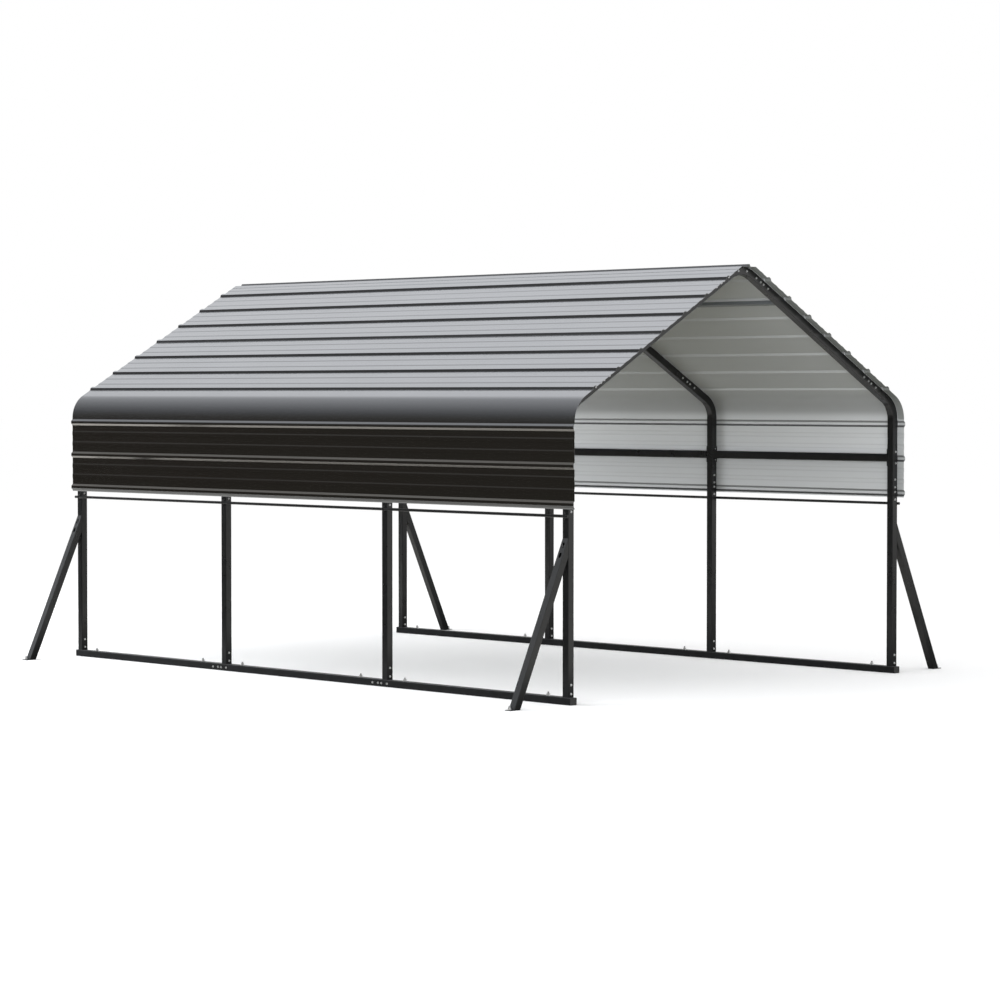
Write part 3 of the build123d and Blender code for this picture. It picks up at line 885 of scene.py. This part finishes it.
def frame_screw_points(frame_name):
    """Screws on the right half of one frame, as (x, z)."""
    leg_low, leg_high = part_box(f"{frame_name}_right_leg")
    leg_x = (leg_low.x + leg_high.x) / 2
    rafter_low, rafter_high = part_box(f"{frame_name}_rafters")
    half_x = TUBE / 2 * math.sin(SLOPE)
    half_z = TUBE / 2 * math.cos(SLOPE)
    eave_x, eave_z = rafter_high.x - half_x, rafter_low.z + half_z
    ridge_z = rafter_high.z - half_z
    ridge_x = eave_x - (ridge_z - eave_z) / math.tan(SLOPE)
    points = splice(leg_x, leg_high.z, 0.0, 1.0, LEG_SPLICE)
    points += splice(leg_x, leg_low.z, 0.0, 1.0, FOOT_SCREWS)
    points += splice(eave_x, eave_z, -math.cos(SLOPE), math.sin(SLOPE), EAVE_SPLICE)
    points += splice(ridge_x, ridge_z, -math.cos(SLOPE), math.sin(SLOPE), RIDGE_SPLICE)
    peak_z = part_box("ridge_bends")[1].z - PEAK_SCREW_DROP
    points.append((PEAK_SCREW_X, peak_z))
    girt_low, girt_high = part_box("right_girts")
    girt_z = (girt_low.z + girt_high.z) / 2
    for rise in (-GIRT_SCREW_RISE, GIRT_SCREW_RISE):
        points.append((leg_x + GIRT_SCREW_SHIFT, girt_z + rise))
    return points


frame_screws = []
for frame_name in FRAME_NAMES:
    leg_low, leg_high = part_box(f"{frame_name}_right_leg")
    for x, z in frame_screw_points(frame_name):
        for side in (-1, 1):
            frame_screws.append((Vector((side * x, leg_low.y, z)), Vector((0.0, -1.0, 0.0))))
            frame_screws.append((Vector((side * x, leg_high.y, z)), Vector((0.0, 1.0, 0.0))))
place_fasteners("frame_screws", frame_screws, **SCREW_SIZES)

# %% [markdown]
# ## Screws and anchors of the base
#
# The rail lengths are spliced just behind the middle legs, with four screws in the outer
# face. Anchors go down through the rails near both ends of each length, and through the foot
# plates of the struts. The strut heads are bolted to the legs through their slots.

# %% Place the base fasteners
RAIL_SPLICE = (0.110, 0.059, 0.028, -0.024)
ANCHOR_INSET = 0.205
FOOT_ANCHOR_INSET = 0.015
FOOT_PLATE = 0.004
STRUT_BOLT_DROPS = (0.046, 0.092)
ANCHOR_SIZES = {
    "Flange_Radius": 0.0125,
    "Flange_Depth": 0.0025,
    "Hex_Radius": 0.0105,
    "Hex_Depth": 0.0100,
    "Stud_Radius": 0.0065,
    "Stud_Depth": 0.0110,
}
BOLT_SIZES = {
    "Flange_Radius": 0.0095,
    "Flange_Depth": 0.0016,
    "Hex_Radius": 0.0075,
    "Hex_Depth": 0.0055,
    "Stud_Radius": 0.004,
    "Stud_Depth": 0.001,
}
UP = Vector((0.0, 0.0, 1.0))

rail_screws = []
rail_anchors = []
for side_name, side in SIDES:
    for rail_name in ("front", "middle", "rear"):
        rail_low, rail_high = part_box(f"{side_name}_{rail_name}_base_rail")
        rail_x = (rail_low.x + rail_high.x) / 2
        for y in (rail_low.y + ANCHOR_INSET, rail_high.y - ANCHOR_INSET):
            rail_anchors.append((Vector((rail_x, y, rail_high.z)), UP))
    for frame_name in ("front_middle", "rear_middle"):
        leg_low, leg_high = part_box(f"{frame_name}_{side_name}_leg")
        outer_x = rail_high.x if side > 0 else rail_low.x
        for offset in RAIL_SPLICE:
            place = Vector((outer_x, (leg_low.y + leg_high.y) / 2 + offset, rail_high.z / 2))
            rail_screws.append((place, Vector((side, 0.0, 0.0))))

foot_anchors = []
strut_bolts = []
for end_name in ("front", "rear"):
    strut_low, strut_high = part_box(f"{end_name}_struts")
    leg_low, leg_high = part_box(f"{end_name}_right_leg")
    strut_y = (strut_low.y + strut_high.y) / 2
    for side in (-1, 1):
        foot_x = side * (strut_high.x - FOOT_ANCHOR_INSET)
        foot_anchors.append((Vector((foot_x, strut_y, FOOT_PLATE)), UP))
        for drop in STRUT_BOLT_DROPS:
            place = Vector((side * leg_high.x, strut_y, strut_high.z - drop))
            strut_bolts.append((place, Vector((side, 0.0, 0.0))))

place_fasteners("rail_screws", rail_screws, **SCREW_SIZES)
place_fasteners("rail_anchors", rail_anchors, **ANCHOR_SIZES)
place_fasteners("foot_anchors", foot_anchors, **ANCHOR_SIZES)
place_fasteners("strut_bolts", strut_bolts, **BOLT_SIZES)

# %% [markdown]
# ## Clips of the lower rods
#
# A saddle clip holds the rod to each leg: a narrow strap that lies on the leg, goes round the
# rod and lies on the leg again. A strap is one flat section run along a line, so the line is
# drawn for each clip and a tree sweeps the section along all of them. The strap's section is
# kept level by setting the line's normal along the rod.

# %% Build the strap tree and sweep the clips
STRAP_WIDTH = 0.014
STRAP_THICKNESS = 0.0016
STRAP_FOOT = 0.012
STRAP_STEPS = 12


def build_strap_tree():
    """Flat section swept along every line of a mesh."""
    tree = bpy.data.node_groups.new("strap_sweep", "GeometryNodeTree")
    tree_input(tree, "Lines", "NodeSocketGeometry")
    tree_input(tree, "Width", "NodeSocketFloat", STRAP_WIDTH)
    tree_input(tree, "Thickness", "NodeSocketFloat", STRAP_THICKNESS)
    tree_input(tree, "Finish", "NodeSocketMaterial")
    tree.interface.new_socket("Straps", in_out="OUTPUT", socket_type="NodeSocketGeometry")
    entry = tree.nodes.new("NodeGroupInput").outputs
    line = add_node(tree, "GeometryNodeMeshToCurve")
    feed(tree, line.inputs["Mesh"], entry["Lines"])
    level = add_node(tree, "GeometryNodeSetCurveNormal", mode="FREE")
    feed(tree, level.inputs["Curve"], line.outputs["Curve"])
    level.inputs["Normal"].default_value = (0.0, 1.0, 0.0)
    section = add_node(tree, "GeometryNodeCurvePrimitiveQuadrilateral", mode="RECTANGLE")
    feed(tree, section.inputs["Width"], entry["Width"])
    feed(tree, section.inputs["Height"], entry["Thickness"])
    sweep = add_node(tree, "GeometryNodeCurveToMesh")
    feed(tree, sweep.inputs["Curve"], level.outputs["Curve"])
    feed(tree, sweep.inputs["Profile Curve"], section.outputs["Curve"])
    sweep.inputs["Fill Caps"].default_value = True
    end_tree(tree, sweep.outputs["Mesh"], entry["Finish"])
    return tree


def clip_line(side, face_x, rod_z, rod_radius, y):
    """Line of one clip: foot, round the rod, foot."""
    out = rod_radius + STRAP_THICKNESS / 2
    flat = face_x + side * STRAP_THICKNESS / 2
    middle = face_x + side * rod_radius
    line = [(flat, y, rod_z - out - STRAP_FOOT), (flat, y, rod_z - out)]
    for step in range(STRAP_STEPS + 1):
        turn = -math.pi / 2 + math.pi * step / STRAP_STEPS
        line.append((middle + side * out * math.cos(turn), y, rod_z + out * math.sin(turn)))
    line += [(flat, y, rod_z + out), (flat, y, rod_z + out + STRAP_FOOT)]
    return line


rod_low, rod_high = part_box("lower_rods")
rod_z = (rod_low.z + rod_high.z) / 2
rod_radius = (rod_high.z - rod_low.z) / 2
clip_points = []
clip_edges = []
for frame_name in FRAME_NAMES:
    leg_low, leg_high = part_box(f"{frame_name}_right_leg")
    leg_y = (leg_low.y + leg_high.y) / 2
    for side in (-1, 1):
        first = len(clip_points)
        clip_points += clip_line(side, side * leg_high.x, rod_z, rod_radius, leg_y)
        clip_edges += [(index, index + 1) for index in range(first, len(clip_points) - 1)]
clip_mesh = bpy.data.meshes.new("rod_clip_lines")
clip_mesh.from_pydata(clip_points, clip_edges, [])
STRAP_TREE = build_strap_tree()
rod_clips = run_tree("rod_clips", clip_mesh, STRAP_TREE, Finish=FRAME_COAT)
print("rod_clips", len(rod_clips.data.polygons), "faces", tuple(rod_clips.dimensions))

# %% [markdown]
# ## The floor
#
# The floor is plain and pale. The camera sees it almost white, so that it runs into the
# background and still takes the soft shadow of the carport. To gloss, and still more to the
# light that bounces, it is darker, as an ordinary floor is, or the underside of the roof
# would be as bright as the walls.

# %% Lay the floor
FLOOR_SIZE = 300.0
FLOOR_SEEN = (1.0, 1.0, 1.0, 1.0)
FLOOR_GLOSS = (0.62, 0.61, 0.58, 1.0)
FLOOR_BOUNCE = (0.13, 0.128, 0.092, 1.0)


def make_floor():
    """Wide pale floor."""
    half = FLOOR_SIZE / 2
    corners = [(-half, -half, 0), (half, -half, 0), (half, half, 0), (-half, half, 0)]
    mesh = bpy.data.meshes.new("floor")
    mesh.from_pydata(corners, [], [(0, 1, 2, 3)])
    floor = add_object("floor", mesh)
    material, tree, shader = start_coat("pale_floor")[:3]
    shader.inputs["Roughness"].default_value = 1.0
    shader.inputs["Specular IOR Level"].default_value = 0.0
    ray = add_node(tree, "ShaderNodeLightPath")
    seen = blend_colours(tree, ray.outputs["Is Glossy Ray"], FLOOR_SEEN, FLOOR_GLOSS)
    seen = blend_colours(tree, ray.outputs["Is Diffuse Ray"], seen, FLOOR_BOUNCE)
    feed(tree, shader.inputs["Base Color"], seen)
    mesh.materials.append(material)


make_floor()
print("floor", FLOOR_SIZE, "m wide")

# %% [markdown]
# ## The light and the flags
#
# An even white sky lights everything at a plain level. Glossy sheets need something dark to
# reflect, so a long curved flag stands along the left side and leans over the roof, as in a
# studio for glossy products: it starts flat on the floor, goes black along the ground and
# fades to the white of the sky overhead. Only reflections see it. It makes the wall dark and
# gives the rolled eave its long fade, while the roof, which looks past its upper edge, stays
# silver. The right side has a low flag for its wall.

# %% Light the scene
SKY = (1.0, 1.0, 1.0, 1.0)
SKY_STRENGTH = 1.0
FLAG_RADIUS = 14.0
FLAG_FOOT = 2.2
FLAG_LIFT = 0.01
FLAG_STEP = 2.0
LEFT_FADE = (
    (-4.0, 0.050),
    (10.0, 0.058),
    (28.0, 0.113),
    (44.0, 0.198),
    (61.0, 0.31),
    (80.0, 0.42),
    (92.0, 0.49),
    (104.0, 0.70),
    (112.0, 1.0),
)
LEFT_SPAN = (-26.0, 30.0)
RIGHT_FADE = ((-4.0, 0.018), (6.0, 0.05), (12.0, 1.0))
RIGHT_SPAN = (-8.0, 30.0)
FLAG_WARM = (1.0, 0.90, 0.70, 1.0)
FLAG_WHITE = (1.0, 1.0, 1.0, 1.0)
FLAG_TURN = 8.0

world = bpy.data.worlds.new("even_sky")
world.use_nodes = True
sky = world.node_tree.nodes["Background"]
sky.inputs["Color"].default_value = SKY
sky.inputs["Strength"].default_value = SKY_STRENGTH
bpy.context.scene.world = world


def fade_at(fade, angle):
    """Brightness of a flag at an angle above the ground."""
    for (low, dark), (high, light) in zip(fade, fade[1:]):
        if angle <= high:
            return dark + (light - dark) * max(angle - low, 0.0) / (high - low)
    return fade[-1][1]


def start_glow(name):
    """New material that only glows; returns it with its tree and its glow."""
    material = bpy.data.materials.new(name)
    material.use_nodes = True
    tree = material.node_tree
    tree.nodes.clear()
    glow = add_node(tree, "ShaderNodeEmission")
    end = add_node(tree, "ShaderNodeOutputMaterial")
    feed(tree, end.inputs["Surface"], glow.outputs["Emission"])
    return material, tree, glow


def make_flag_finish():
    """Glow that follows the flag's own fade, warm where it is nearly black."""
    material, tree, glow = start_glow("flag_fade")
    fade = add_node(tree, "ShaderNodeAttribute", attribute_name="fade").outputs["Fac"]
    share = math_node(tree, "MINIMUM", math_node(tree, "MULTIPLY", fade, FLAG_TURN), 1.0)
    feed(tree, glow.inputs["Color"], blend_colours(tree, share, FLAG_WARM, FLAG_WHITE))
    feed(tree, glow.inputs["Strength"], fade)
    return material


def show_only(card, diffuse, glossy):
    """Let a studio card be seen by some rays only."""
    card.visible_camera = False
    card.visible_diffuse = diffuse
    card.visible_glossy = glossy
    card.visible_transmission = False
    card.visible_volume_scatter = False
    card.visible_shadow = False


def hang_flag(name, side, fade, span):
    """Flag that lies on the floor, then rises and leans over along an arc."""
    profile = [(FLAG_FOOT, FLAG_LIFT, fade[0][1])]
    angle = 0.0
    while angle <= fade[-1][0]:
        turn = math.radians(angle)
        height = max(FLAG_RADIUS * math.sin(turn), FLAG_LIFT)
        profile.append((FLAG_RADIUS * math.cos(turn), height, fade_at(fade, angle)))
        angle += FLAG_STEP
    points = [(side * x, y, z) for x, z, grey in profile for y in span]
    faces = [(i, i + 1, i + 3, i + 2) for i in range(0, len(points) - 2, 2)]
    mesh = bpy.data.meshes.new(name)
    mesh.from_pydata(points, [], faces)
    greys = mesh.attributes.new("fade", "FLOAT", "POINT")
    greys.data.foreach_set("value", [grey for x, z, grey in profile for y in span])
    mesh.materials.append(FLAG_FINISH)
    flag = add_object(name, mesh)
    show_only(flag, False, True)


FLAG_FINISH = make_flag_finish()
hang_flag("left_flag", -1, LEFT_FADE, LEFT_SPAN)
hang_flag("right_flag", 1, RIGHT_FADE, RIGHT_SPAN)
print("sky", SKY_STRENGTH, "and two flags of radius", FLAG_RADIUS)

# %% [markdown]
# ## Low light for the inside
#
# The inside of the far wall is brighter than the underside of the roof, so its light comes in
# low, through the open ends. Two wide soft panels stand at the left, one before the front
# opening and a stronger one behind the rear one, well outside the picture. The stronger one
# reaches down to the ground, so that some of its light passes below the near wall. Both light
# matte faces only and are hidden from reflections, which keeps the dark paint outside as it is.

# %% Stand the low panels
FRONT_GLOW = 4.1
REAR_GLOW = 10.8
PANEL_WHITE = (0.975, 0.995, 1.03, 1.0)
PANEL_NEAR = (-9.0, 2.0)
PANEL_FAR = (-4.0, 11.0)
FRONT_LOW = 0.3
REAR_LOW = 0.02
PANEL_HIGH = 4.0


def make_panel_finish(name, strength):
    """Plain glow of a cool white."""
    material, tree, glow = start_glow(name)
    feed(tree, glow.inputs["Color"], PANEL_WHITE)
    feed(tree, glow.inputs["Strength"], strength)
    return material


def stand_panel(name, end_side, low, strength):
    """Upright panel at the left of one open end, seen by matte faces only."""
    near = (PANEL_NEAR[0], end_side * PANEL_NEAR[1])
    far = (PANEL_FAR[0], end_side * PANEL_FAR[1])
    mesh = bpy.data.meshes.new(name)
    corners = [(*near, low), (*far, low), (*far, PANEL_HIGH), (*near, PANEL_HIGH)]
    mesh.from_pydata(corners, [], [(0, 1, 2, 3)])
    mesh.materials.append(make_panel_finish(f"{name}_glow", strength))
    panel = add_object(name, mesh)
    show_only(panel, True, False)


stand_panel("front_panel", -1, FRONT_LOW, FRONT_GLOW)
stand_panel("rear_panel", 1, REAR_LOW, REAR_GLOW)
print("two low panels at strengths", FRONT_GLOW, REAR_GLOW)
